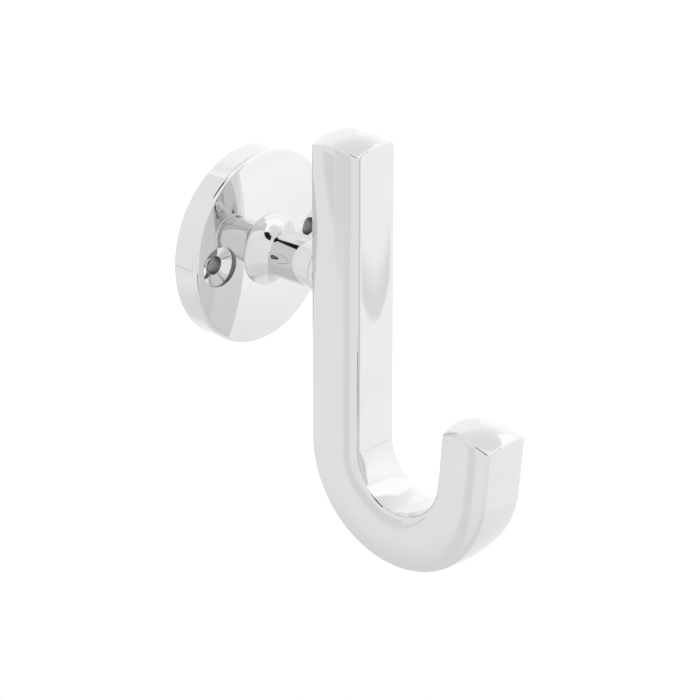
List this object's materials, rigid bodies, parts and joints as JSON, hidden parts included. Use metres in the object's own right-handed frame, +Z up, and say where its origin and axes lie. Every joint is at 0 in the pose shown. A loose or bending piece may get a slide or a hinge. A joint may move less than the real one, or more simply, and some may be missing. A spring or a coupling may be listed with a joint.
{
  "type": "wall hook",
  "caption": "Single chromed wall hook: a round domed wall plate with countersunk screw holes, a turned stem and a J-shaped square bar with domed ends.",
  "frame": {"origin": "middle of the wall plate's back face, on the wall", "axes": "+Z up along the hook's upright; -Y out of the wall towards the tip; +X to the right as seen from the front"},
  "size_m": [0.045, 0.0769, 0.0972],
  "materials": {
    "plate_chrome": "polished chrome plating on die-cast zinc",
    "stem_chrome": "polished chrome plating on turned metal",
    "hook_chrome": "polished chrome plating on a cast and polished bar",
    "zinc_plated_steel": "bright zinc plating"
  },
  "bodies": {
    "root": {"wall_plate": "plate_chrome", "plate_screw": "zinc_plated_steel", "lock_washer": "zinc_plated_steel", "plate_pin": "zinc_plated_steel", "stem": "stem_chrome", "hook_stud": "zinc_plated_steel", "hook": "hook_chrome"}
  },
  "joints": []
}
